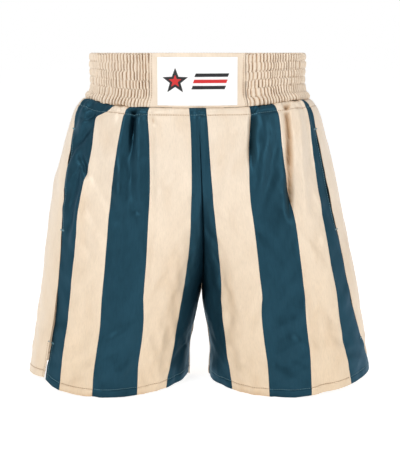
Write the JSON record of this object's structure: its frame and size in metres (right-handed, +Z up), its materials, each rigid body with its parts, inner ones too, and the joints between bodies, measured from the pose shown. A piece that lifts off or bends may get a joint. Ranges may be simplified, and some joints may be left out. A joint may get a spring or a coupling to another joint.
{
  "type": "boxing shorts",
  "caption": "Satin boxing shorts with broad vertical stripes in teal and cream, gathered into a wide shirred waistband with a plain white patch on its flat front panel.",
  "frame": {"origin": "bottom centre of the shorts' box, on the plane of the two hems", "axes": "+Z up from the hems to the waist opening, -Y the way the wearer faces, +X to the wearer's left"},
  "size_m": [0.5272, 0.2497, 0.496],
  "materials": {
    "teal_satin": "satin",
    "cream_satin": "satin",
    "cream_lining": "matte",
    "elastic": "matte",
    "interfacing": "matte",
    "patch_white": "satin",
    "label": "satin",
    "pocket_cloth": "matte",
    "thread": "matte"
  },
  "bodies": {
    "root": {"waistband_front_panel": "cream_satin", "waistband_shirred_cover": "cream_satin", "waistband_lining": "cream_lining", "waist_elastic": "elastic", "front_panel_interfacing": "interfacing", "front_patch": "patch_white", "care_label": "label", "left_front_stripe_1": "teal_satin", "left_front_stripe_2": "cream_satin", "left_front_stripe_3": "teal_satin", "left_front_stripe_4": "cream_satin", "left_front_stripe_5": "teal_satin", "left_back_stripe_1": "cream_satin", "left_back_stripe_2": "teal_satin", "left_back_stripe_3": "cream_satin", "left_back_stripe_4": "teal_satin", "left_back_stripe_5": "cream_satin", "left_back_stripe_6": "teal_satin", "left_back_stripe_7": "cream_satin", "right_front_stripe_1": "teal_satin", "right_front_stripe_2": "cream_satin", "right_front_stripe_3": "teal_satin", "right_front_stripe_4": "cream_satin", "right_front_stripe_5": "teal_satin", "right_back_stripe_1": "cream_satin", "right_back_stripe_2": "teal_satin", "right_back_stripe_3": "cream_satin", "right_back_stripe_4": "teal_satin", "right_back_stripe_5": "cream_satin", "right_back_stripe_6": "teal_satin", "right_back_stripe_7": "cream_satin", "left_pocket_bag": "pocket_cloth", "right_pocket_bag": "pocket_cloth", "left_pocket_top_bartack": "thread", "left_pocket_bottom_bartack": "thread", "left_vent_bartack": "thread", "right_pocket_top_bartack": "thread", "right_pocket_bottom_bartack": "thread", "right_vent_bartack": "thread"}
  },
  "joints": []
}
